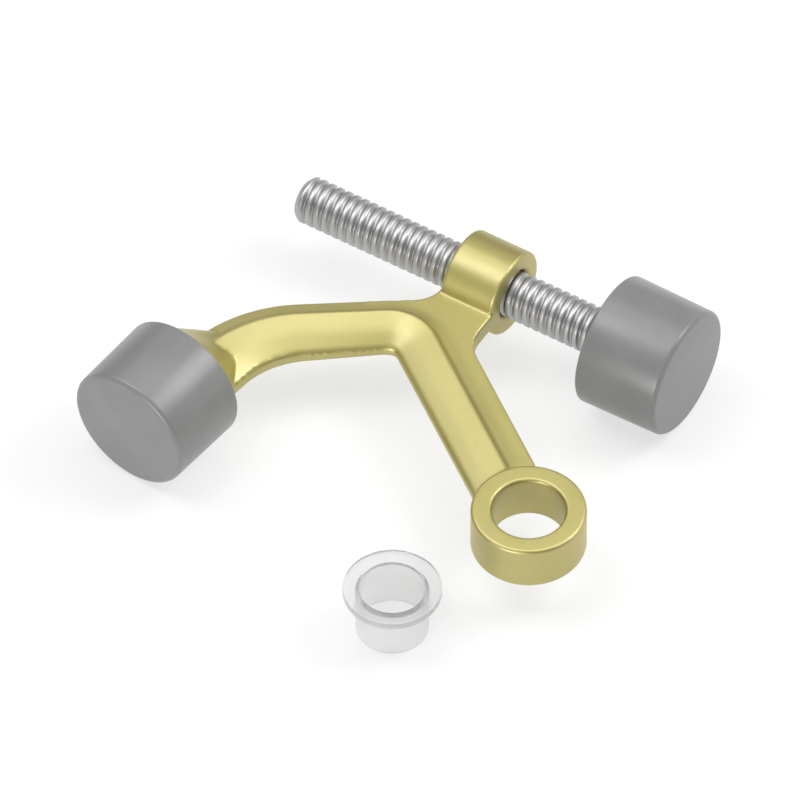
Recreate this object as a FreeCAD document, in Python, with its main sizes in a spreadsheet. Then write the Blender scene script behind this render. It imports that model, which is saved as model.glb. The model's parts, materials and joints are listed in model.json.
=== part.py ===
import FreeCAD, Part
import math
import os
import re

import Sketcher

# Hinge pin door stop, in millimetres.
# The origin is the middle of the hinge pin's bore, and +Z runs up the bore. The ring, the two arms, the
# collar and the tapped boss are one casting, alike above and below its parting plane at Z = 0.
# Angles are in degrees, counted from +X towards +Y, apart from arm_lean, which is counted from +Y.

SIZES = [
    # Ring that the hinge pin goes through
    ("pin_bore", 9.5, "bore for the hinge pin"),
    ("ring_diameter", 15.0, "outside of the ring at its faces"),
    ("ring_height", 6.7, "height of the ring"),
    ("ring_edge", 0.3, "chamfer on the ring's outer edges"),
    # Rib: the raised bar that runs from the ring round the elbow to the collar, along its crest
    ("arm_lean", 22.0, "how far the ring arm leans to the left of +Y"),
    ("elbow_reach", 37.3, "from the bore's axis to the corner of the elbow"),
    ("elbow_radius", 6.2, "bend of the crest at the elbow"),
    ("elbow_run", 1.0, "straight rib past the elbow's bend, before it widens"),
    ("arm_fall", 3.0, "how far the long arm falls below the -X direction"),
    ("bend_reach", 22.3, "from the elbow's corner to the corner of the long arm's bend"),
    ("bend_angle", 46.0, "direction of the long arm past its bend, below -X"),
    ("bend_radius", 17.0, "bend of the long arm"),
    ("tail_reach", 9.4, "from the bend's corner to the end of the rib, inside the collar"),
    ("crest_height", 2.8, "crest above the parting plane"),
    ("crest_flat", 0.3, "width of the crest's top"),
    ("inner_reach", 4.9, "from the crest to the rib's inner edge"),
    ("inner_edge_height", 0.65, "height of the rib's inner edge"),
    ("inner_round", 0.9, "rounding of the inner edge"),
    ("inner_swell", 0.28, "how far the rib's inner face swells above its chord"),
    ("inner_swell_round", 9.0, "curve of that swell"),
    ("outer_foot", 0.85, "from the crest to the foot of its outer side"),
    ("outer_foot_height", 1.65, "height of that foot"),
    ("outer_foot_round", 1.2, "hollow at that foot"),
    ("outer_reach", 3.3, "from the crest to the rib's outer edge"),
    ("outer_edge_height", 1.15, "height of the rib's outer edge"),
    ("outer_edge", 0.35, "chamfer on the outer edge"),
    ("tail_inner_reach", 6.2, "from the crest to the inner edge at the rib's end in the collar"),
    ("tail_edge_height", 0.95, "height of the inner edge there"),
    # Web between the ring arm and the boss
    ("web_thickness", 2.7, "thickness of the web and the neck"),
    ("web_reach", 4.3, "from the crest to the web's right edge"),
    ("plate_reach", 7.0, "from the elbow's corner to the plate's end inside the long arm"),
    ("web_fillet", 4.6, "hollow between the web's right edge and the neck"),
    ("neck_fillet", 5.0, "hollow between the neck and the long arm"),
    # Boss and rod
    ("rod_angle", -31.6, "direction of the rod, towards its bumper"),
    ("boss_across", -5.04, "middle of the boss along X"),
    ("boss_up", 41.59, "middle of the boss along Y"),
    ("boss_diameter", 11.7, "outside of the boss"),
    ("boss_length", 8.0, "length of the boss"),
    ("boss_edge", 0.3, "chamfer on the boss's edges"),
    ("rod_diameter", 6.35, "outside of the rod's thread"),
    ("rod_behind", 24.1, "rod behind the boss as it is set"),
    ("rod_ahead", 14.35, "from the boss to the adjustable bumper as it is set"),
    ("rod_chamfer", 0.7, "chamfer on the rod's ends"),
    ("running_clearance", 0.05, "gap round the rod in its bores"),
    ("pin_bore_chamfer", 0.3, "chamfer at the ends of the hinge pin's bore"),
    ("rod_bore_chamfer", 0.5, "chamfer at the ends of the rod's bore"),
    # Bumpers: both are the same moulding
    ("bumper_diameter", 17.7, "bumper at its base"),
    ("bumper_taper", 0.15, "how much its radius falls from base to face"),
    ("bumper_length", 11.85, "length of the bumper"),
    ("bumper_face_round", 0.8, "rounding round its face"),
    ("bumper_base_edge", 0.25, "chamfer round its base"),
    ("socket_depth", 8.0, "depth of the socket in its base"),
    ("seat_gap", 0.2, "gap between the rod or the stud and the socket's bottom"),
    # Collar and stud of the fixed bumper
    ("collar_across", -44.35, "collar's seat along X"),
    ("collar_up", 25.5, "collar's seat along Y"),
    ("collar_angle", 232.0, "direction that the fixed bumper faces"),
    ("collar_diameter", 13.8, "collar at the bumper's base"),
    ("collar_length", 1.2, "straight part of the collar"),
    ("collar_edge", 0.25, "chamfer on the collar's edge at the bumper"),
    ("flare_middle", 4.0, "from the collar's seat to the middle of the flare"),
    ("flare_middle_shift", 0.9, "how far the flare has moved towards the arm there"),
    ("flare_middle_turn", 12.0, "how far it has turned towards the arm there"),
    ("flare_middle_width", 10.6, "width of the flare's middle"),
    ("flare_middle_height", 7.0, "height of the flare's middle"),
    ("flare_reach", 8.0, "from the collar's seat to the flare's thin end, inside the arm"),
    ("flare_shift", 2.4, "how far the flare has moved towards the arm at its thin end"),
    ("flare_turn", 22.0, "how far it has turned there"),
    ("flare_end_width", 5.0, "width of its thin end"),
    ("flare_end_height", 2.2, "height of its thin end"),
    # Bushing for a thinner hinge pin
    ("bushing_bore", 8.5, "bore of the bushing"),
    ("bushing_clearance", 0.05, "gap round the bushing's tube in the ring"),
    ("bushing_height", 7.7, "bushing with its flange"),
    ("flange_diameter", 12.8, "flange of the bushing"),
    ("flange_thickness", 0.9, "thickness of the flange"),
    ("bushing_across", -17.5, "where the bushing stands, along X"),
    ("bushing_up", -9.4, "where the bushing stands, along Y"),
]

NAMES = [name for name, value, note in SIZES]

doc = FreeCAD.newDocument("hinge_pin_door_stop")
sheet = doc.addObject("Spreadsheet::Sheet", "sizes")
for row, (name, value, note) in enumerate(SIZES, 1):
    sheet.set(f"A{row}", name)
    sheet.set(f"B{row}", str(value))
    sheet.set(f"C{row}", note)
    sheet.setAlias(f"B{row}", name)
doc.recompute()


def formula(text):
    """The text with each size's name pointed at its cell."""
    return re.sub(r"[a-z][a-z_]*", lambda m: f"sizes.{m[0]}" if m[0] in NAMES else m[0], str(text))


def value_of(text):
    """What a formula gives with the sheet as it stands."""
    return float(sheet.evalExpression(formula(text)))


def bind(thing, **formulas):
    """Drive properties of an object from the sheet."""
    for name, text in formulas.items():
        thing.setExpression(name.replace("__", "."), formula(text))


def make_body(label):
    body = doc.addObject("PartDesign::Body", label)
    body.Label = label
    return body


def sketch_on(body, role, name, along="0", across="0", above="0", turn_axis=(0, 0, 1), turn="0"):
    """An empty sketch on one of the body's own planes, moved and turned by formulas."""
    sketch = body.newObject("Sketcher::SketchObject", name)
    plane = next(p for p in body.Origin.OriginFeatures if p.Role == role)
    sketch.AttachmentSupport = [(plane, "")]
    sketch.MapMode = "FlatFace"
    sketch.AttachmentOffset = FreeCAD.Placement(
        FreeCAD.Vector(), FreeCAD.Rotation(FreeCAD.Vector(*turn_axis), 1)
    )
    bind(
        sketch,
        AttachmentOffset__Base__x=along,
        AttachmentOffset__Base__y=across,
        AttachmentOffset__Base__z=above,
        AttachmentOffset__Rotation__Angle=turn,
    )
    return sketch


def place_point(sketch, geo, end, x, y):
    """Tie a point of a sketch to two formulas."""
    for kind, text in (("DistanceX", x), ("DistanceY", y)):
        index = sketch.addConstraint(Sketcher.Constraint(kind, geo, end, value_of(text)))
        sketch.setExpression(f"Constraints[{index}]", formula(text))


def draw(sketch, corners, closed=True):
    """Lines from corner to corner, each corner (x, y) or (x, y, rounding), all of them formulas."""
    spots = [FreeCAD.Vector(value_of(c[0]), value_of(c[1]), 0) for c in corners]
    count = len(corners)
    cuts = []
    for i, corner in enumerate(corners):
        if len(corner) < 3:
            cuts.append((spots[i], spots[i], None))
            continue
        back = (spots[i - 1] - spots[i]).normalize()
        ahead = (spots[(i + 1) % count] - spots[i]).normalize()
        half = back.getAngle(ahead) / 2
        reach = value_of(corner[2]) / math.tan(half)
        middle = spots[i] + (back + ahead).normalize() * (value_of(corner[2]) / math.sin(half))
        cuts.append((spots[i] + back * reach, spots[i] + ahead * reach, middle))
    lines = []
    for i in range(count if closed else count - 1):
        start, end = cuts[i][1], cuts[(i + 1) % count][0]
        lines.append(sketch.addGeometry(Part.LineSegment(start, end), False))
    for i, corner in enumerate(corners):
        before = lines[i - 1] if closed or i else None
        after = lines[i] if i < len(lines) else None
        if len(corner) < 3:
            place_point(sketch, *((after, 1) if after is not None else (before, 2)), corner[0], corner[1])
            if before is not None and after is not None:
                sketch.addConstraint(Sketcher.Constraint("Coincident", before, 2, after, 1))
            continue
        start, end, middle = cuts[i]
        turn = (start - middle).cross(end - middle).z
        first, last = (start, end) if turn > 0 else (end, start)
        circle = Part.Circle(middle, FreeCAD.Vector(0, 0, 1), value_of(corner[2]))
        arc = sketch.addGeometry(
            Part.ArcOfCircle(circle, circle.parameter(first), circle.parameter(last)), False
        )
        near, far = (1, 2) if turn > 0 else (2, 1)
        sketch.addConstraint(Sketcher.Constraint("Tangent", before, 2, arc, near))
        sketch.addConstraint(Sketcher.Constraint("Tangent", arc, far, after, 1))
        index = sketch.addConstraint(Sketcher.Constraint("Radius", arc, value_of(corner[2])))
        sketch.setExpression(f"Constraints[{index}]", formula(corner[2]))
        corner_point = sketch.addGeometry(Part.Point(spots[i]), True)
        place_point(sketch, corner_point, 1, corner[0], corner[1])
        sketch.addConstraint(Sketcher.Constraint("PointOnObject", corner_point, 1, before))
        sketch.addConstraint(Sketcher.Constraint("PointOnObject", corner_point, 1, after))


def turned(body, kind, name, sketch, axis):
    """A full turn of a sketch about one of its own axes, H_Axis or V_Axis."""
    feature = body.newObject(kind, name)
    feature.Profile = sketch
    feature.ReferenceAxis = (sketch, [axis])
    feature.Angle = 360
    doc.recompute()
    return feature


# Casting

casting = make_body("arm_casting")

elbow = ("-elbow_reach * sin(arm_lean)", "elbow_reach * cos(arm_lean)")
bend = (f"{elbow[0]} - bend_reach * cos(arm_fall)", f"{elbow[1]} - bend_reach * sin(arm_fall)")
tail = (f"{bend[0]} - tail_reach * cos(bend_angle)", f"{bend[1]} - tail_reach * sin(bend_angle)")
root_reach = "(pin_bore + ring_diameter) / 4"


def beside_ring_arm(reach, side):
    """A point reach along the crest of the ring arm from the bore's axis, and side to its right."""
    return (
        f"-({reach}) * sin(arm_lean) + ({side}) * cos(arm_lean)",
        f"({reach}) * cos(arm_lean) + ({side}) * sin(arm_lean)",
    )


def beside_rod(along, aside):
    """A point along the rod from the boss's middle, and aside from its axis, away from the ring."""
    return (
        f"boss_across + ({along}) * cos(rod_angle) - ({aside}) * sin(rod_angle)",
        f"boss_up + ({along}) * sin(rod_angle) + ({aside}) * cos(rod_angle)",
    )


# Web and neck: a flat plate that the boss stands on, hollowed on both sides
# The neck's right side lies in the plane of the boss's end, and meets the web's right edge at a corner.
lean = "(arm_lean - rod_angle)"
web_corner = (
    f"((boss_length / 2 + boss_across * cos(rod_angle) + boss_up * sin(rod_angle))"
    f" - web_reach * cos({lean})) / -sin({lean})"
)
# The neck's left side lies in the plane of its other end, and meets the long arm's outer edge.
arm_edge_up = f"({elbow[1]} + (outer_reach - outer_edge) / cos(arm_fall))"
neck_corner_aside = (
    f"-(boss_up - (boss_length / 2) * sin(rod_angle) - {arm_edge_up}"
    f" + (boss_across - (boss_length / 2) * cos(rod_angle) - ({elbow[0]})) * -tan(arm_fall))"
    f" / (cos(rod_angle) + sin(rod_angle) * tan(arm_fall))"
)
web_sketch = sketch_on(casting, "XY_Plane", "web_outline")
draw(
    web_sketch,
    [
        beside_ring_arm(root_reach, "web_reach"),
        beside_ring_arm(web_corner, "web_reach") + ("web_fillet",),
        beside_rod("boss_length / 2", "0"),
        beside_rod("-boss_length / 2", "0"),
        beside_rod("-boss_length / 2", neck_corner_aside) + ("neck_fillet",),
        (f"{elbow[0]} - plate_reach * cos(arm_fall)", f"{arm_edge_up} - plate_reach * sin(arm_fall)"),
        (f"{elbow[0]} - plate_reach * cos(arm_fall)", f"{elbow[1]} - plate_reach * sin(arm_fall)"),
        elbow + ("elbow_radius",),
        beside_ring_arm(root_reach, "0"),
    ],
)
web = casting.newObject("PartDesign::Pad", "web")
web.Profile = web_sketch
web.Midplane = True
bind(web, Length="web_thickness")
doc.recompute()

# Rib: one section swept from the ring round the elbow, then widened along the long arm into the collar
elbow_length = "(elbow_radius * tan((90 + arm_fall - arm_lean) / 2) + elbow_run)"
elbow_end = (
    f"{elbow[0]} - {elbow_length} * cos(arm_fall)",
    f"{elbow[1]} - {elbow_length} * sin(arm_fall)",
)


def rib_section(name, spot, turn, reach, edge_height):
    """The rib's section across its path at a spot, with the reach and height of its inner edge."""
    sketch = sketch_on(
        casting,
        "XZ_Plane",
        name,
        along=spot[0],
        above=f"-({spot[1]})",
        turn_axis=(0, 1, 0),
        turn=turn,
    )
    outer_slope = "(outer_foot_height - outer_edge_height) / (outer_reach - outer_foot)"
    upper_side = [
        (f"-{reach}", edge_height, "inner_round"),
        (f"-{reach} / 2", f"({edge_height} + crest_height) / 2 + inner_swell", "inner_swell_round"),
        ("-crest_flat / 2", "crest_height"),
        ("crest_flat / 2", "crest_height"),
        ("outer_foot", "outer_foot_height", "outer_foot_round"),
        ("outer_reach - outer_edge", f"outer_edge_height + outer_edge * {outer_slope}"),
        ("outer_reach", "outer_edge_height - outer_edge"),
    ]
    lower_side = [(corner[0], f"-({corner[1]})", *corner[2:]) for corner in reversed(upper_side)]
    draw(sketch, upper_side + lower_side)
    return sketch


def rib_length(name, path, section):
    """A length of the rib, swept along an open path in the parting plane."""
    path_sketch = sketch_on(casting, "XY_Plane", f"{name}_path")
    draw(path_sketch, path, closed=False)
    length = casting.newObject("PartDesign::AdditivePipe", name)
    length.Profile = section
    length.Spine = (path_sketch, [])
    length.Mode = "Binormal"
    length.Binormal = FreeCAD.Vector(0, 0, 1)
    return length


start = beside_ring_arm(root_reach, "0")
ring_section = rib_section("ring_section", start, "arm_lean", "inner_reach", "inner_edge_height")
rib_length("ring_rib", [start, elbow + ("elbow_radius",), elbow_end], ring_section)
doc.recompute()
elbow_section = rib_section(
    "elbow_section", elbow_end, "90 + arm_fall", "inner_reach", "inner_edge_height"
)
tail_section = rib_section(
    "tail_section", tail, "90 + bend_angle", "tail_inner_reach", "tail_edge_height"
)
long_rib = rib_length("long_rib", [elbow_end, bend + ("bend_radius",), tail], elbow_section)
long_rib.Transformation = "Multisection"
long_rib.Sections = [tail_section]
doc.recompute()

# Ring
ring_sketch = sketch_on(casting, "XZ_Plane", "ring_profile")
draw(
    ring_sketch,
    [
        ("0", "-ring_height / 2"),
        ("ring_diameter / 2 - ring_edge", "-ring_height / 2"),
        ("ring_diameter / 2", "-ring_height / 2 + ring_edge"),
        ("ring_diameter / 2", "ring_height / 2 - ring_edge"),
        ("ring_diameter / 2 - ring_edge", "ring_height / 2"),
        ("0", "ring_height / 2"),
    ],
)
turned(casting, "PartDesign::Revolution", "ring", ring_sketch, "V_Axis")

# Boss
boss_sketch = sketch_on(
    casting, "XY_Plane", "boss_profile", along="boss_across", across="boss_up", turn="rod_angle"
)
draw(
    boss_sketch,
    [
        ("-boss_length / 2", "0"),
        ("boss_length / 2", "0"),
        ("boss_length / 2", "boss_diameter / 2 - boss_edge"),
        ("boss_length / 2 - boss_edge", "boss_diameter / 2"),
        ("-boss_length / 2 + boss_edge", "boss_diameter / 2"),
        ("-boss_length / 2", "boss_diameter / 2 - boss_edge"),
    ],
)
turned(casting, "PartDesign::Revolution", "boss", boss_sketch, "H_Axis")

# Collar, and the stud that the fixed bumper is pushed over
collar_sketch = sketch_on(
    casting, "XY_Plane", "collar_profile", along="collar_across", across="collar_up", turn="collar_angle"
)
draw(
    collar_sketch,
    [
        ("-collar_length", "0"),
        ("socket_depth - seat_gap", "0"),
        ("socket_depth - seat_gap", "rod_diameter / 2 - rod_chamfer"),
        ("socket_depth - seat_gap - rod_chamfer", "rod_diameter / 2"),
        ("0", "rod_diameter / 2"),
        ("0", "collar_diameter / 2 - collar_edge"),
        ("-collar_edge", "collar_diameter / 2"),
        ("-collar_length", "collar_diameter / 2"),
    ],
)
turned(casting, "PartDesign::Revolution", "collar", collar_sketch, "H_Axis")


# Flare: it narrows and flattens from the collar and bends round into the long arm
def flare_ring(name, behind, shift, turn, width, height):
    """A round or flattened outline behind the collar's seat, shifted and turned towards the arm."""
    sketch = sketch_on(
        casting,
        "YZ_Plane",
        name,
        along=f"collar_up - ({behind}) * sin(collar_angle) + ({shift}) * cos(collar_angle)",
        above=f"collar_across - ({behind}) * cos(collar_angle) - ({shift}) * sin(collar_angle)",
        turn_axis=(0, 1, 0),
        turn=f"collar_angle - ({turn})",
    )
    rounding = f"({height}) * 0.49"
    corners = [(-1, -1), (1, -1), (1, 1), (-1, 1)]
    draw(sketch, [(f"{x} * ({width}) / 2", f"{z} * ({height}) / 2", rounding) for x, z in corners])
    return sketch


flare = casting.newObject("PartDesign::AdditiveLoft", "flare")
flare.Profile = flare_ring(
    "flare_mouth", "collar_length", "0", "0", "collar_diameter", "collar_diameter"
)
flare.Sections = [
    flare_ring(
        "flare_waist",
        "flare_middle",
        "flare_middle_shift",
        "flare_middle_turn",
        "flare_middle_width",
        "flare_middle_height",
    ),
    flare_ring(
        "flare_tip", "flare_reach", "flare_shift", "flare_turn", "flare_end_width", "flare_end_height"
    ),
]
doc.recompute()

# Bores
pin_bore_sketch = sketch_on(casting, "XZ_Plane", "pin_bore_profile")
draw(
    pin_bore_sketch,
    [
        ("0", "-ring_height / 2"),
        ("pin_bore / 2 + pin_bore_chamfer", "-ring_height / 2"),
        ("pin_bore / 2", "-ring_height / 2 + pin_bore_chamfer"),
        ("pin_bore / 2", "ring_height / 2 - pin_bore_chamfer"),
        ("pin_bore / 2 + pin_bore_chamfer", "ring_height / 2"),
        ("0", "ring_height / 2"),
    ],
)
solid_before = casting.Shape.Volume
turned(casting, "PartDesign::Groove", "hinge_pin_bore", pin_bore_sketch, "V_Axis")
rod_bore_sketch = sketch_on(
    casting, "XY_Plane", "rod_bore_profile", along="boss_across", across="boss_up", turn="rod_angle"
)
rod_bore = "rod_diameter / 2 + running_clearance"
draw(
    rod_bore_sketch,
    [
        ("-boss_length / 2", "0"),
        ("boss_length / 2", "0"),
        ("boss_length / 2", f"{rod_bore} + rod_bore_chamfer"),
        ("boss_length / 2 - rod_bore_chamfer", rod_bore),
        ("-boss_length / 2 + rod_bore_chamfer", rod_bore),
        ("-boss_length / 2", f"{rod_bore} + rod_bore_chamfer"),
    ],
)
turned(casting, "PartDesign::Groove", "rod_bore", rod_bore_sketch, "H_Axis")
assert casting.Shape.Volume < solid_before, "a bore cut nothing"


# Rod


def lay_along(body, across, up, angle):
    """Put a body that is drawn along its own X axis at a point of the parting plane, pointing at an angle."""
    body.Placement = FreeCAD.Placement(FreeCAD.Vector(), FreeCAD.Rotation(FreeCAD.Vector(0, 0, 1), 1))
    bind(body, Placement__Base__x=across, Placement__Base__y=up, Placement__Rotation__Angle=angle)


rod = make_body("threaded_rod")
rod_length = "(rod_behind + boss_length + rod_ahead + socket_depth - seat_gap)"
rod_sketch = sketch_on(rod, "XY_Plane", "rod_profile")
draw(
    rod_sketch,
    [
        ("0", "0"),
        (rod_length, "0"),
        (rod_length, "rod_diameter / 2 - rod_chamfer"),
        (f"{rod_length} - rod_chamfer", "rod_diameter / 2"),
        ("rod_chamfer", "rod_diameter / 2"),
        ("0", "rod_diameter / 2 - rod_chamfer"),
    ],
)
turned(rod, "PartDesign::Revolution", "rod_bar", rod_sketch, "H_Axis")
lay_along(rod, *beside_rod("-boss_length / 2 - rod_behind", "0"), "rod_angle")


# Bumpers


def make_bumper(label, across, up, angle):
    """A rubber bumper with a blind socket in its base, facing along an angle."""
    bumper = make_body(label)
    # The rounding round its face is drawn as two flats.
    face_round = [
        (
            f"bumper_length - bumper_face_round * (1 - cos({around}))",
            f"bumper_diameter / 2 - bumper_taper - bumper_face_round * (1 - sin({around}))",
        )
        for around in (0, 45, 90)
    ]
    sketch = sketch_on(bumper, "XY_Plane", f"{label}_profile")
    draw(
        sketch,
        [
            ("0", "rod_diameter / 2 + running_clearance"),
            ("socket_depth", "rod_diameter / 2 + running_clearance"),
            ("socket_depth", "0"),
            ("bumper_length", "0"),
            *face_round,
            ("bumper_base_edge", "bumper_diameter / 2"),
            ("0", "bumper_diameter / 2 - bumper_base_edge"),
        ],
    )
    turned(bumper, "PartDesign::Revolution", f"{label}_rubber", sketch, "H_Axis")
    lay_along(bumper, across, up, angle)
    return bumper


adjustable_bumper = make_bumper(
    "adjustable_bumper", *beside_rod("boss_length / 2 + rod_ahead", "0"), "rod_angle"
)
fixed_bumper = make_bumper("fixed_bumper", "collar_across", "collar_up", "collar_angle")

# Bushing, standing flange up on the surface that the bumpers lie on

bushing = make_body("pin_bushing")
tube_radius = "(pin_bore / 2 - bushing_clearance)"
bushing_sketch = sketch_on(bushing, "XZ_Plane", "bushing_profile")
draw(
    bushing_sketch,
    [
        ("bushing_bore / 2", "0"),
        (tube_radius, "0"),
        (tube_radius, "bushing_height - flange_thickness"),
        ("flange_diameter / 2", "bushing_height - flange_thickness"),
        ("flange_diameter / 2", "bushing_height"),
        ("bushing_bore / 2", "bushing_height"),
    ],
)
turned(bushing, "PartDesign::Revolution", "bushing_shell", bushing_sketch, "V_Axis")
bind(
    bushing,
    Placement__Base__x="bushing_across",
    Placement__Base__y="bushing_up",
    Placement__Base__z="-bumper_diameter / 2",
)

# Check and write

doc.recompute()
for thing in doc.Objects:
    if "Invalid" in thing.State or "Error" in thing.State:
        raise RuntimeError(f"{thing.Label} failed: {thing.State}")

os.makedirs("parts", exist_ok=True)
for body in (casting, rod, adjustable_bumper, fixed_bumper, bushing):
    shape = body.Shape
    if shape.isNull() or not shape.isValid() or len(shape.Solids) != 1:
        raise RuntimeError(f"{body.Label} isn't one valid solid")
    shape.exportStep(f"parts/{body.Label}.step")
    print(body.Label, round(shape.Volume, 1), "mm3")
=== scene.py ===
"""Hinge pin door stop: brass-plated casting, zinc-plated screw, rubber bumpers, clear bushing."""

import json
import math

import bmesh
import bpy
from bpy.props import (
    FloatProperty,
    FloatVectorProperty,
    IntProperty,
    PointerProperty,
    StringProperty,
)
from mathutils import Matrix, Vector


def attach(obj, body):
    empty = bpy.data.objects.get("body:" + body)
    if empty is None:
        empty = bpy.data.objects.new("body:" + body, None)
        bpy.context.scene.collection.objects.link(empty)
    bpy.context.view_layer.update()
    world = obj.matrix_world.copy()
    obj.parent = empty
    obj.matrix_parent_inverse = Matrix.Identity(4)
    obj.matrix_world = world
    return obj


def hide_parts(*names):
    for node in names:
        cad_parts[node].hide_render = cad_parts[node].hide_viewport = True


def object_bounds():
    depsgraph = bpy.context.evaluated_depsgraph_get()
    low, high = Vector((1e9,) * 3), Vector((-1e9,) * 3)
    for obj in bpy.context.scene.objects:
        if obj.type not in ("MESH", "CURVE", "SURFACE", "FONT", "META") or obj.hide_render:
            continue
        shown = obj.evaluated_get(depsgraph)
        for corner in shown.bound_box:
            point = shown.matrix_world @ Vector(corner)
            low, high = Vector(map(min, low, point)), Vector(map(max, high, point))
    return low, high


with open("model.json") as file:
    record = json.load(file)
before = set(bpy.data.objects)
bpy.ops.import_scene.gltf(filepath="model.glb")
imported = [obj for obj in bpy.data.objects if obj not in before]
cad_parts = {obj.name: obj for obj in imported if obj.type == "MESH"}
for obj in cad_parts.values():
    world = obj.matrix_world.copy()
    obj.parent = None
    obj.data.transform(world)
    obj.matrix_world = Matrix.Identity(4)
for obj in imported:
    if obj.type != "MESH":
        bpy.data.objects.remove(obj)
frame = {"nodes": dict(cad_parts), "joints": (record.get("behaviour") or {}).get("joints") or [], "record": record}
cad_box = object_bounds()

bl_info = {
    "name": "Hinge pin door stop",
    "version": (1, 0, 0),
    "blender": (4, 5, 0),
    "location": "View3D > Sidebar > Door stop",
    "description": "Builds a hinge pin door stop around its packed frame",
    "category": "Object",
}

MM = 0.001
ORIGIN = Vector((0, 0, 0))

# In metres: vertices this close are one, places this close are the same, and what is this close to
# a cut lies on it
MERGE = 1e-7
NEAR = 1e-6
CUT = 1e-9

# A rounded edge is a quarter circle of this many faces
RIM_STEPS = 6
QUARTER_CIRCLE = 0.5

# Edges that turn more than this stay sharp in the shading
SCREW_CREASE = math.radians(50)
BUMPER_CREASE = math.radians(35)
BUSHING_CREASE = math.radians(50)

# How often sharp vertices with fewer than two sharp neighbours are taken for flat ones
LONE_PASSES = 3

# The screw is made some turns too long, and cut off this many pitches from its start
SPARE_TURNS = 2
LEAD_IN = 1.2

# Share of a thread's flank that is straight; the rest eases into crest and root
STRAIGHT = 0.6

# How many times its own distance the camera sees
CLIP_REACH = 4

# Softboxes round the object, as elevation and azimuth in degrees, side in metres and radiance.
# Most light comes from above and behind, and some from low down in front. The camera is at 49, 270.
LAMPS = {
    "overhead": (90, 0, 0.2, 1.5),
    "high_right": (68, 30, 0.2, 1.0),
    "high_back": (68, 90, 0.2, 1.9),
    "high_left": (66, 174, 0.2, 4.6),
    "right": (48, 12, 0.22, 6.8),
    "back_left": (46, 120, 0.2, 1.0),
    "left": (46, 160, 0.2, 2.2),
    "low_back_right": (26, 54, 0.2, 0.9),
    "low_back": (26, 95, 0.2, 0.6),
    "low_right": (9, 0, 0.2, 1.4),
    "low_front": (9, 242, 0.2, 9.0),
}


# Reading the frame


def mount(name):
    """A mount's place and the direction that it faces."""
    found = next(m for m in frame["record"]["mounts"] if m["name"] == name)
    return Vector(found["pos_m"]), Vector(found["axis"]).normalized()


def joint(name):
    """A joint's record."""
    return next(j for j in frame["joints"] if j["name"] == name)


def reach_along(node, place, way):
    """How far a node reaches back and ahead of a place, along a direction."""
    spans = [(v.co - place).dot(way) for v in frame["nodes"][node].data.vertices]
    return min(spans), max(spans)


def widest_about(node, place, way):
    """A node's largest radius about a line."""
    spans = (v.co - place for v in frame["nodes"][node].data.vertices)
    return max((s - way * s.dot(way)).length for s in spans)


# Making meshes


def lay(way, place):
    """Turns +X to a level direction and moves the origin to a place."""
    turn = Vector((1, 0, 0)).rotation_difference(way).to_matrix().to_4x4()
    return Matrix.Translation(place) @ turn


def add_piece(name, bm, body, node, material):
    """A finished piece at the origin that rides on a body and takes the place of a node, which it hides."""
    mesh = bpy.data.meshes.new(name)
    bmesh.ops.recalc_face_normals(bm, faces=bm.faces)
    bm.to_mesh(mesh)
    bm.free()
    mesh.materials.append(material)
    piece = bpy.data.objects.new(name, mesh)
    bpy.context.scene.collection.objects.link(piece)
    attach(piece, body)
    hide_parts(node)
    return piece


def lathe(outline, steps):
    """A solid turned about X from corners (along, radius, rounding), rounding 0 for a sharp one."""
    bm = bmesh.new()
    corners = [bm.verts.new((x, radius, 0)) for x, radius, rounding in outline]
    for first, second in zip(corners, corners[1:] + corners[:1]):
        if first.co.y > 0 or second.co.y > 0:
            bm.edges.new((first, second))
    bmesh.ops.spin(
        bm,
        geom=bm.verts[:] + bm.edges[:],
        axis=(1, 0, 0),
        cent=ORIGIN,
        angle=math.tau,
        steps=steps,
        use_merge=True,
    )
    bmesh.ops.remove_doubles(bm, verts=bm.verts, dist=MERGE)
    for x, radius, rounding in outline:
        if not rounding:
            continue
        rim = [e for e in bm.edges if all(on_ring(v, x, radius) for v in e.verts)]
        bmesh.ops.bevel(
            bm,
            geom=rim,
            offset=rounding,
            affect="EDGES",
            segments=RIM_STEPS,
            profile=QUARTER_CIRCLE,
            material=-1,
            clamp_overlap=True,
        )
    return bm


def on_ring(vertex, x, radius):
    """Whether a vertex lies on the ring of that radius about X, at that place along it."""
    reach = math.hypot(vertex.co.y, vertex.co.z)
    return abs(vertex.co.x - x) < NEAR and abs(reach - radius) < NEAR


def with_modifier(mesh, kind, **settings):
    """A mesh as a modifier leaves it."""
    maker = bpy.data.objects.new(mesh.name, mesh)
    bpy.context.scene.collection.objects.link(maker)
    modifier = maker.modifiers.new(kind, kind)
    for name, value in settings.items():
        setattr(modifier, name, value)
    bpy.context.view_layer.update()
    evaluated = maker.evaluated_get(bpy.context.evaluated_depsgraph_get())
    made = bpy.data.meshes.new_from_object(evaluated)
    bpy.data.objects.remove(maker)
    if len(made.polygons) == 0:
        raise RuntimeError(f"the {kind} modifier left nothing of {mesh.name}")
    return made


def soften(bm, verts, passes):
    """Moves each vertex half way to its neighbours' middle, several times."""
    chosen = list(verts)
    for _ in range(passes):
        bmesh.ops.smooth_vert(
            bm, verts=chosen, factor=0.5, use_axis_x=True, use_axis_y=True, use_axis_z=True
        )


def widened(verts, rings):
    """A set of vertices with some rings of neighbours round it."""
    for _ in range(rings):
        verts = verts | {e.other_vert(v) for v in verts for e in v.link_edges}
    return verts


def corner_parts(bm, side, turn):
    """The vertices of edges that turn outwards (side 1) or inwards (-1) more than an angle."""
    return {v for e in bm.edges if side * e.calc_face_angle_signed(0) > turn for v in e.verts}


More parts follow.
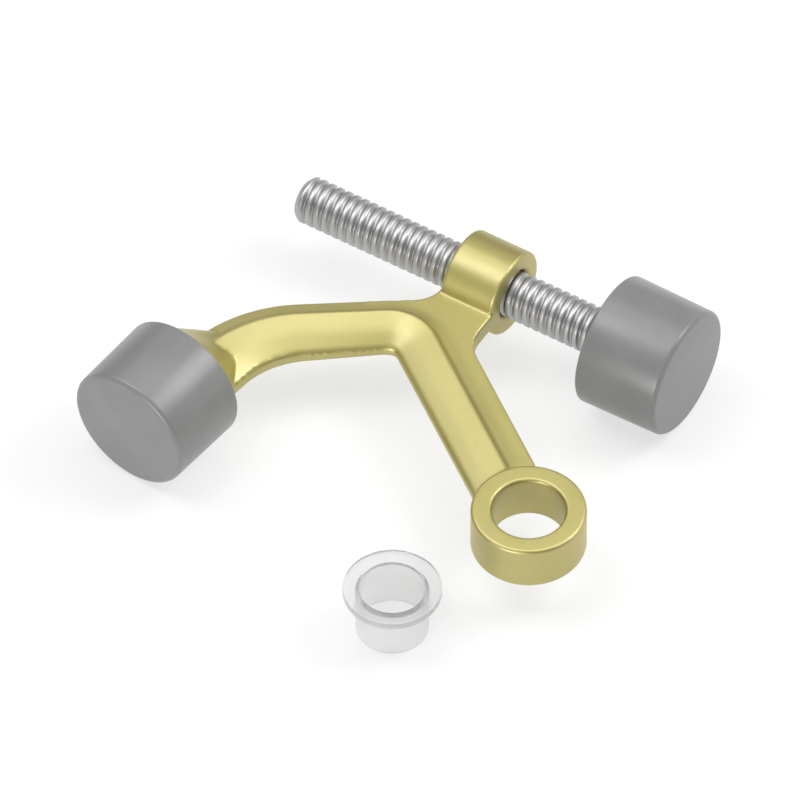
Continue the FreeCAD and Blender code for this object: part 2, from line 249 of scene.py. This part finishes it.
def flat_parts(bm, turn, rings):
    """The vertices some rings away from every edge that turns more than an angle."""
    sharp = {v for e in bm.edges if e.calc_face_angle(0) > turn for v in e.verts}
    for _ in range(LONE_PASSES):
        sharp = {v for v in sharp if sum(e.other_vert(v) in sharp for e in v.link_edges) > 1}
    return set(bm.verts) - widened(sharp, rings)


def smooth(mesh, crease):
    """Smooth shading, apart from edges that turn more than an angle."""
    mesh.shade_smooth()
    bm = bmesh.new()
    bm.from_mesh(mesh)
    for edge in bm.edges:
        edge.smooth = len(edge.link_faces) == 2 and edge.calc_face_angle(0) < crease
    bm.to_mesh(mesh)
    bm.free()


# Making materials


def linear(colour):
    """An sRGB hex colour as linear RGBA."""
    parts = [int(colour[i : i + 2], 16) / 255 for i in (1, 3, 5)]
    return [p / 12.92 if p <= 0.04045 else ((p + 0.055) / 1.055) ** 2.4 for p in parts] + [1]


def new_material(name):
    """An empty node material, and its tree."""
    material = bpy.data.materials.new(name)
    material.use_nodes = True
    material.node_tree.nodes.clear()
    return material, material.node_tree


def add_node(tree, kind, sockets=None, **settings):
    """A node with its settings, and its inputs set to values or linked to other nodes' outputs."""
    node = tree.nodes.new(kind)
    for name, value in settings.items():
        setattr(node, name, value)
    for name, value in (sockets or {}).items():
        if isinstance(value, bpy.types.NodeSocket):
            tree.links.new(value, node.inputs[name])
        else:
            node.inputs[name].default_value = value
    return node


def ramp(tree, factor, stops):
    """A colour ramp with stops (position, colour)."""
    node = add_node(tree, "ShaderNodeValToRGB", {"Fac": factor})
    elements = node.color_ramp.elements
    while len(elements) < len(stops):
        elements.new(0.5)
    for element, (position, colour) in zip(elements, stops):
        element.position = position
        element.color = colour
    return node.outputs["Color"]


def grey(value):
    """A grey for a ramp that drives a number."""
    return (value, value, value, 1)


def spread(tree, factor, low, high, start=0.3, end=0.7):
    """A number that goes from low to high while a factor goes from start to end."""
    return ramp(tree, factor, [(start, grey(low)), (end, grey(high))])


def noise(tree, size, detail=2.0, roughness=0.5):
    """Noise whose patches are about a size across, read in the object's own metres."""
    place = add_node(tree, "ShaderNodeTexCoord").outputs["Object"]
    sockets = {"Vector": place, "Scale": 1 / size, "Detail": detail, "Roughness": roughness}
    return add_node(tree, "ShaderNodeTexNoise", sockets).outputs["Fac"]


def bump(tree, height, depth, strength):
    """A bump from a height of 0 to 1 that stands for a depth in metres."""
    sockets = {"Height": height, "Distance": depth, "Strength": strength}
    return add_node(tree, "ShaderNodeBump", sockets).outputs["Normal"]


def show(tree, shader):
    """Makes a shader the material's surface."""
    add_node(tree, "ShaderNodeOutputMaterial", {"Surface": shader.outputs[0]})


def show_principled(tree, sockets):
    """Makes the main shader, with these inputs, the material's surface."""
    show(tree, add_node(tree, "ShaderNodeBsdfPrincipled", sockets))


def satin_brass(colours):
    """Bright brass plate on a tumbled zinc casting, under clear lacquer: satin, faintly clouded."""
    material, tree = new_material("satin brass plate")
    patches = noise(tree, 9 * MM, detail=3.0)
    grain = noise(tree, 0.35 * MM, detail=3.0, roughness=0.6)
    mottle = noise(tree, 1.4 * MM, detail=3.0, roughness=0.6)
    tones = (colours.brass_dull, colours.brass, colours.brass_rubbed)
    stops = list(zip((0.3, 0.5, 0.7), map(linear, tones)))
    sockets = {"Factor": 0.4, "A": ramp(tree, patches, stops), "B": ramp(tree, mottle, stops)}
    toned = add_node(tree, "ShaderNodeMix", sockets, data_type="RGBA")
    show_principled(
        tree,
        {
            "Base Color": toned.outputs["Result"],
            "Metallic": 1.0,
            "Roughness": spread(tree, grain, 0.5, 0.58, start=0.25, end=0.75),
            "Coat Weight": 0.32,
            "Coat Roughness": 0.28,
            "Coat IOR": 2.3,
            "Normal": bump(tree, grain, depth=0.012 * MM, strength=0.35),
        },
    )
    return material


def zinc_plate(colours):
    """Bright zinc plate on a rolled steel thread: cool grey, soft bright crests, and roots darkened with painted
    shade.
    """
    material, tree = new_material("bright zinc plate")
    patches = noise(tree, 2.5 * MM, detail=3.0)
    grain = noise(tree, 0.2 * MM)
    # Painted shade: where the surface curves inwards, in the thread's roots, the grey is darkened to stand for the
    # shade there
    edges = add_node(tree, "ShaderNodeNewGeometry").outputs["Pointiness"]
    stops = [(0.4, linear(colours.zinc_root_shade)), (0.52, linear(colours.zinc))]
    show_principled(
        tree,
        {
            "Base Color": ramp(tree, edges, stops),
            "Metallic": 1.0,
            "Roughness": spread(tree, patches, 0.42, 0.5),
            "Normal": bump(tree, grain, depth=0.01 * MM, strength=0.3),
        },
    )
    return material


def moulded_rubber(colours):
    """Grey moulded rubber: a dull sheen, with a fine grain from the mould and a faint bloom."""
    material, tree = new_material("moulded grey rubber")
    bloom = noise(tree, 5 * MM, detail=4.0)
    grain = noise(tree, 0.18 * MM)
    stops = [(0.3, linear(colours.rubber)), (0.75, linear(colours.rubber_bloom))]
    show_principled(
        tree,
        {
            "Base Color": ramp(tree, bloom, stops),
            "Roughness": spread(tree, grain, 0.31, 0.37),
            "IOR": 1.58,
            "Normal": bump(tree, grain, depth=0.015 * MM, strength=0.4),
        },
    )
    return material


def clear_plastic(colours):
    """Natural polypropylene, moulded thin: clear with a milky haze."""
    material, tree = new_material("natural polypropylene")
    haze = noise(tree, 1.5 * MM)
    show_principled(
        tree,
        {
            "Base Color": linear(colours.plastic),
            "Roughness": spread(tree, haze, 0.16, 0.24),
            "IOR": 1.49,
            "Transmission Weight": 0.84,
        },
    )
    return material


# Settings


class FinishColours(bpy.types.PropertyGroup):
    """Colours of the finishes, as sRGB hex."""

    brass: StringProperty(
        name="Brass", description="Brass plate on open faces", default="#BBB16E"
    )
    brass_rubbed: StringProperty(
        name="Rubbed brass", description="Brass plate where it is rubbed", default="#BEB472"
    )
    brass_dull: StringProperty(
        name="Dull brass", description="Brass plate where it is dulled", default="#B7AD6A"
    )
    zinc: StringProperty(
        name="Zinc", description="Zinc plate on the thread's crests", default="#BCBCBD"
    )
    # Painted shade: the darker grey that the thread's roots are given in place of their shade
    zinc_root_shade: StringProperty(
        name="Zinc root", description="Zinc plate in the thread's roots", default="#8A8A8B"
    )
    rubber: StringProperty(name="Rubber", description="Grey rubber", default="#797979")
    rubber_bloom: StringProperty(
        name="Rubber bloom", description="Grey rubber where it has bloomed", default="#808080"
    )
    plastic: StringProperty(
        name="Plastic", description="Clear plastic of the bushing", default="#EFEFEF"
    )
    floor: StringProperty(name="Floor", description="The pale floor", default="#FCFCFC")


class CastingSizes(bpy.types.PropertyGroup):
    """How the casting's corners are softened."""

    cell: FloatProperty(
        name="Cell", description="Size of the casting's faces", default=0.11 * MM, unit="LENGTH"
    )
    faces: IntProperty(
        name="Faces",
        description="Triangles that the casting is thinned to",
        default=190000,
        min=1000,
    )
    hollow_turn: FloatProperty(
        name="Hollow turn",
        description="How far neighbouring faces turn at a corner that is filled or rounded",
        default=math.radians(12),
        subtype="ANGLE",
    )
    hollow_rings: IntProperty(
        name="Hollow rings", description="Cells each side of a filled corner", default=3, min=0
    )
    hollow_passes: IntProperty(
        name="Hollow passes", description="Smoothing of the filled corners", default=14, min=0
    )
    passes: IntProperty(
        name="Passes", description="Smoothing of the whole casting", default=2, min=0
    )
    ridge_passes: IntProperty(
        name="Ridge passes", description="Smoothing of the outer corners", default=6, min=0
    )
    flat_turn: FloatProperty(
        name="Flat turn",
        description="Largest turn between a flat area's faces",
        default=math.radians(6),
        subtype="ANGLE",
    )
    flat_passes: IntProperty(
        name="Flat passes", description="Smoothing of the nearly flat areas", default=60, min=0
    )
    flat_rings: IntProperty(
        name="Flat rings",
        description="Cells between a flat area and a corner",
        default=1,
        min=0,
    )
    last_passes: IntProperty(
        name="Last passes", description="Smoothing of the whole at the end", default=3, min=0
    )


class ScrewSizes(bpy.types.PropertyGroup):
    """The screw's thread, a 1/4 inch coarse one."""

    pitch: FloatProperty(
        name="Pitch", description="From crest to crest", default=1.27 * MM, unit="LENGTH"
    )
    depth: FloatProperty(
        name="Depth", description="From crest to root", default=0.34 * MM, unit="LENGTH"
    )
    crest: FloatProperty(
        name="Crest", description="Share of the pitch that the crest takes", default=0.34
    )
    root: FloatProperty(
        name="Root", description="Share of the pitch that the root takes", default=0.12
    )
    chamfer: FloatProperty(
        name="Chamfer", description="Chamfer on each end", default=0.7 * MM, unit="LENGTH"
    )
    steps: IntProperty(name="Steps", description="Faces round the screw", default=64, min=12)
    slices: IntProperty(name="Slices", description="Faces along each pitch", default=12, min=6)


class BumperSizes(bpy.types.PropertyGroup):
    """The rubber bumpers' rounded edges and socket."""

    face_round: FloatProperty(
        name="Face rounding",
        description="Round the striking face",
        default=0.7 * MM,
        unit="LENGTH",
    )
    base_round: FloatProperty(
        name="Base rounding", description="Round the base", default=0.3 * MM, unit="LENGTH"
    )
    taper: FloatProperty(
        name="Taper",
        description="How much the radius falls to the face",
        default=0.15 * MM,
        unit="LENGTH",
    )
    socket_gap: FloatProperty(
        name="Socket gap",
        description="Gap round the screw or stud",
        default=0.05 * MM,
        unit="LENGTH",
    )
    socket_depth: FloatProperty(
        name="Socket depth",
        description="Depth of the socket",
        default=8.0 * MM,
        unit="LENGTH",
    )
    steps: IntProperty(name="Steps", description="Faces round a bumper", default=128, min=12)


class BushingSizes(bpy.types.PropertyGroup):
    """The clear bushing's flange, wall and edges."""

    flange: FloatProperty(
        name="Flange", description="Thickness of the flange", default=0.9 * MM, unit="LENGTH"
    )
    wall: FloatProperty(
        name="Wall", description="Thickness of the tube", default=0.45 * MM, unit="LENGTH"
    )
    edge: FloatProperty(
        name="Edge", description="Rounding of its edges", default=0.14 * MM, unit="LENGTH"
    )
    steps: IntProperty(name="Steps", description="Faces round the bushing", default=128, min=12)


class StageSizes(bpy.types.PropertyGroup):
    """The floor, the lights and the camera."""

    elevation: FloatProperty(
        name="Elevation",
        description="Camera above the horizon",
        default=math.radians(49),
        subtype="ANGLE",
    )
    across: FloatProperty(
        name="Frame width",
        description="What the picture spans at the target",
        default=103.226 * MM,
        unit="LENGTH",
    )
    target: FloatVectorProperty(
        name="Target",
        description="Middle of the picture",
        default=(-16.516 * MM, 21.371 * MM, 0),
        subtype="TRANSLATION",
    )
    lens: FloatProperty(name="Lens", description="Focal length in millimetres", default=1000)
    floor: FloatProperty(
        name="Floor", description="Side of the floor", default=6.0, unit="LENGTH"
    )
    floor_glow: FloatProperty(
        name="Floor glow",
        description="Share of the floor's white that shadows leave",
        default=0.7,
    )
    sky: FloatProperty(name="Sky", description="Strength of the room's light", default=0.15)
    lamp_reach: FloatProperty(
        name="Lamp reach",
        description="From the object to each softbox",
        default=0.45,
        unit="LENGTH",
    )


# Pieces


class DOORSTOP_OT_casting(bpy.types.Operator):
    """Cast ring, arms, boss and collar, with softened corners"""

    bl_idname = "doorstop.casting"
    bl_label = "Casting"

    def execute(self, context):
        sizes = context.scene.door_stop_casting
        bm = bmesh.new()
        bm.from_mesh(frame["nodes"]["arm_casting"].data)
        bmesh.ops.remove_doubles(bm, verts=bm.verts, dist=MERGE)
        rough = bpy.data.meshes.new("casting_rough")
        bm.to_mesh(rough)
        bm.free()
        cells = with_modifier(rough, "REMESH", mode="VOXEL", voxel_size=sizes.cell)
        bm = bmesh.new()
        bm.from_mesh(cells)
        soften(bm, bm.verts, sizes.passes)
        hollows = widened(corner_parts(bm, -1, sizes.hollow_turn), sizes.hollow_rings)
        soften(bm, hollows, sizes.hollow_passes)
        soften(bm, corner_parts(bm, 1, sizes.hollow_turn), sizes.ridge_passes)
        soften(bm, flat_parts(bm, sizes.flat_turn, sizes.flat_rings), sizes.flat_passes)
        soften(bm, bm.verts, sizes.last_passes)
        share = sizes.faces / (2 * len(bm.faces))  # each cell's face is two triangles
        bm.to_mesh(cells)
        bm.free()
        bm = bmesh.new()
        bm.from_mesh(with_modifier(cells, "DECIMATE", ratio=share) if share < 1 else cells)
        brass = satin_brass(context.scene.door_stop_colours)
        piece = add_piece("casting", bm, "stop", "arm_casting", brass)
        piece.data.shade_smooth()
        return {"FINISHED"}


class DOORSTOP_OT_screw(bpy.types.Operator):
    """Screw with its helical thread, cut flat and chamfered at both ends"""

    bl_idname = "doorstop.screw"
    bl_label = "Screw"

    def execute(self, context):
        sizes = context.scene.door_stop_screw
        turning = joint("rod_turn")
        place, way = Vector(turning["pos_m"]), Vector(turning["axis"])
        back, ahead = reach_along("threaded_rod", place, way)
        radius = widest_about("threaded_rod", place, way)
        length = ahead - back
        turns = math.ceil(length / sizes.pitch) + SPARE_TURNS
        bm = bmesh.new()
        row = []
        for i in range(turns * sizes.slices + 1):
            pitches = i / sizes.slices
            height = radius - self.dip(pitches % 1, sizes)
            row.append(bm.verts.new((pitches * sizes.pitch, height, 0)))
        for first, second in zip(row, row[1:]):
            bm.edges.new((first, second))
        bmesh.ops.spin(
            bm,
            geom=bm.verts[:] + bm.edges[:],
            axis=(1, 0, 0),
            cent=ORIGIN,
            dvec=(sizes.pitch / sizes.steps, 0, 0),
            angle=math.tau,
            steps=sizes.steps,
        )
        bmesh.ops.remove_doubles(bm, verts=bm.verts, dist=NEAR)
        start = sizes.pitch * LEAD_IN
        for cut, facing in ((start, -1), (start + length, 1)):
            made = bmesh.ops.bisect_plane(
                bm,
                geom=bm.verts[:] + bm.edges[:] + bm.faces[:],
                dist=CUT,
                plane_co=(cut, 0, 0),
                plane_no=(facing, 0, 0),
                clear_outer=True,
            )
            rim = [e for e in made["geom_cut"] if isinstance(e, bmesh.types.BMEdge)]
            bmesh.ops.contextual_create(bm, geom=rim)
        for vertex in bm.verts:
            end = min(vertex.co.x - start, start + length - vertex.co.x)
            limit = radius - max(0, sizes.chamfer - end)
            reach = math.hypot(vertex.co.y, vertex.co.z)
            if reach > limit:
                vertex.co.y *= limit / reach
                vertex.co.z *= limit / reach
        bmesh.ops.translate(bm, verts=bm.verts, vec=(back - start, 0, 0))
        bmesh.ops.transform(bm, verts=bm.verts, matrix=lay(way, place))
        zinc = zinc_plate(context.scene.door_stop_colours)
        piece = add_piece("screw", bm, "rod", "threaded_rod", zinc)
        smooth(piece.data, SCREW_CREASE)
        return {"FINISHED"}

    def dip(self, share, sizes):
        """How far the thread lies below its crest, at a share of the way from root to root."""
        from_crest = abs(2 * share - 1)
        slope = (from_crest - sizes.crest) / (1 - sizes.crest - sizes.root)
        slope = min(max(slope, 0), 1)
        eased = slope * slope * (3 - 2 * slope)
        return sizes.depth * (STRAIGHT * slope + (1 - STRAIGHT) * eased)


class DOORSTOP_OT_bumpers(bpy.types.Operator):
    """Fixed and adjustable rubber bumpers, both the same moulding"""

    bl_idname = "doorstop.bumpers"
    bl_label = "Bumpers"

    def execute(self, context):
        rubber = moulded_rubber(context.scene.door_stop_colours)
        sizes = context.scene.door_stop_bumpers
        screw = joint("rod_turn")
        screw_radius = widest_about("threaded_rod", Vector(screw["pos_m"]), Vector(screw["axis"]))
        socket = screw_radius + sizes.socket_gap
        for node, body in (("fixed_bumper", "stop"), ("adjustable_bumper", "bumper")):
            place, way = mount(f"{node}_face")
            length = -reach_along(node, place, way)[0]
            base = widest_about(node, place, way)
            outline = [
                (0, 0, 0),
                (0, base - sizes.taper, sizes.face_round),
                (-length, base, sizes.base_round),
                (-length, socket, 0),
                (sizes.socket_depth - length, socket, 0),
                (sizes.socket_depth - length, 0, 0),
            ]
            bm = lathe(outline, sizes.steps)
            bmesh.ops.transform(bm, verts=bm.verts, matrix=lay(way, place))
            piece = add_piece(f"{node}_rubber", bm, body, node, rubber)
            smooth(piece.data, BUMPER_CREASE)
        return {"FINISHED"}


class DOORSTOP_OT_bushing(bpy.types.Operator):
    """Clear flanged bushing that fits the ring"""

    bl_idname = "doorstop.bushing"
    bl_label = "Bushing"

    def execute(self, context):
        sizes = context.scene.door_stop_bushing
        place, way = mount("bushing_bore")
        low, high = reach_along("pin_bushing", place, way)
        flange = widest_about("pin_bushing", place, way)
        mounts = frame["record"]["mounts"]
        bore = next(m for m in mounts if m["name"] == "bushing_bore")["dims"]["r_mm"] * MM
        outline = [
            (low, bore, sizes.edge),
            (low, bore + sizes.wall, sizes.edge),
            (high - sizes.flange, bore + sizes.wall, sizes.edge),
            (high - sizes.flange, flange, sizes.edge),
            (high, flange, sizes.edge),
            (high, bore, sizes.edge),
        ]
        bm = lathe(outline, sizes.steps)
        bmesh.ops.transform(bm, verts=bm.verts, matrix=lay(way, place))
        plastic = clear_plastic(context.scene.door_stop_colours)
        piece = add_piece("bushing", bm, "stop", "pin_bushing", plastic)
        smooth(piece.data, BUSHING_CREASE)
        return {"FINISHED"}


class DOORSTOP_OT_stage(bpy.types.Operator):
    """Pale floor, soft lights and the camera"""

    bl_idname = "doorstop.stage"
    bl_label = "Stage"

    def execute(self, context):
        sizes = context.scene.door_stop_stage
        self.add_floor(context, sizes)
        self.add_lights(context, sizes)
        self.add_camera(context, sizes)
        context.scene.view_settings.view_transform = "Standard"
        return {"FINISHED"}

    def add_floor(self, context, sizes):
        """A floor that the camera and reflections see nearly white, apart from the shadow."""
        material, tree = new_material("pale floor")
        colour = linear(context.scene.door_stop_colours.floor)
        path = add_node(tree, "ShaderNodeLightPath")
        seen = path.outputs["Is Camera Ray"]
        for ray in ("Is Glossy Ray", "Is Transmission Ray"):
            sockets = {0: seen, 1: path.outputs[ray]}
            seen = add_node(tree, "ShaderNodeMath", sockets, operation="MAXIMUM").outputs[0]
        sockets = {0: seen, 1: sizes.floor_glow}
        share = add_node(tree, "ShaderNodeMath", sockets, operation="MULTIPLY").outputs[0]
        matt = add_node(tree, "ShaderNodeBsdfDiffuse", {"Color": colour})
        glow = add_node(tree, "ShaderNodeEmission", {"Color": colour, "Strength": 1.0})
        sockets = {0: share, 1: matt.outputs[0], 2: glow.outputs[0]}
        show(tree, add_node(tree, "ShaderNodeMixShader", sockets))
        bm = bmesh.new()
        bmesh.ops.create_grid(bm, x_segments=1, y_segments=1, size=sizes.floor / 2)
        bmesh.ops.translate(bm, verts=bm.verts, vec=(0, 0, cad_box[0].z))
        mesh = bpy.data.meshes.new("floor")
        bm.to_mesh(mesh)
        bm.free()
        mesh.materials.append(material)
        floor = bpy.data.objects.new("floor", mesh)
        context.scene.collection.objects.link(floor)

    def add_lights(self, context, sizes):
        """A dim even room, and the softboxes."""
        world = bpy.data.worlds.new("room")
        context.scene.world = world
        world.use_nodes = True
        tree = world.node_tree
        tree.nodes.clear()
        sky = add_node(tree, "ShaderNodeBackground", {"Color": grey(1), "Strength": sizes.sky})
        add_node(tree, "ShaderNodeOutputWorld", {"Surface": sky.outputs[0]})
        for name, (elevation, azimuth, side, radiance) in LAMPS.items():
            rise, turn = math.radians(elevation), math.radians(azimuth)
            level = math.cos(rise)
            way = Vector((level * math.cos(turn), level * math.sin(turn), math.sin(rise)))
            self.add_lamp(context, name, way * sizes.lamp_reach, side, radiance)

    def add_lamp(self, context, name, place, side, radiance):
        """A square softbox that faces the object, as bright as a surface of that radiance."""
        lamp = bpy.data.lights.new(name, "AREA")
        lamp.shape = "SQUARE"
        lamp.size = side
        lamp.energy = radiance * math.pi * side * side
        holder = bpy.data.objects.new(name, lamp)
        middle = (cad_box[0] + cad_box[1]) / 2
        holder.location = middle + place
        holder.rotation_mode = "QUATERNION"
        holder.rotation_quaternion = place.to_track_quat("Z", "Y")
        context.scene.collection.objects.link(holder)

    def add_camera(self, context, sizes):
        """A long lens from the photo's side, far enough off to span the picture's width."""
        lens = bpy.data.cameras.new("camera")
        lens.lens = sizes.lens
        far = sizes.across * sizes.lens / lens.sensor_width
        lens.clip_end = far * CLIP_REACH
        camera = bpy.data.objects.new("camera", lens)
        back = Vector((0, -math.cos(sizes.elevation), math.sin(sizes.elevation)))
        camera.location = Vector(sizes.target) + back * far
        camera.rotation_mode = "QUATERNION"
        camera.rotation_quaternion = back.to_track_quat("Z", "Y")
        context.scene.collection.objects.link(camera)
        context.scene.camera = camera


class DOORSTOP_PT_sidebar(bpy.types.Panel):
    """The door stop's pieces, in the order that they are made"""

    bl_label = "Door stop"
    bl_idname = "DOORSTOP_PT_sidebar"
    bl_space_type = "VIEW_3D"
    bl_region_type = "UI"
    bl_category = "Door stop"

    def draw(self, context):
        for operator in OPERATORS:
            self.layout.operator(operator.bl_idname)


GROUPS = {
    "door_stop_colours": FinishColours,
    "door_stop_casting": CastingSizes,
    "door_stop_screw": ScrewSizes,
    "door_stop_bumpers": BumperSizes,
    "door_stop_bushing": BushingSizes,
    "door_stop_stage": StageSizes,
}
OPERATORS = (
    DOORSTOP_OT_casting,
    DOORSTOP_OT_screw,
    DOORSTOP_OT_bumpers,
    DOORSTOP_OT_bushing,
    DOORSTOP_OT_stage,
)


def register():
    for name, group in GROUPS.items():
        bpy.utils.register_class(group)
        setattr(bpy.types.Scene, name, PointerProperty(type=group))
    for operator in OPERATORS:
        bpy.utils.register_class(operator)
    bpy.utils.register_class(DOORSTOP_PT_sidebar)


def unregister():
    bpy.utils.unregister_class(DOORSTOP_PT_sidebar)
    for operator in reversed(OPERATORS):
        bpy.utils.unregister_class(operator)
    for name, group in reversed(GROUPS.items()):
        delattr(bpy.types.Scene, name)
        bpy.utils.unregister_class(group)


def main():
    register()
    bpy.ops.doorstop.casting()
    bpy.ops.doorstop.screw()
    bpy.ops.doorstop.bumpers()
    bpy.ops.doorstop.bushing()
    bpy.ops.doorstop.stage()


if __name__ == "__main__":
    main()
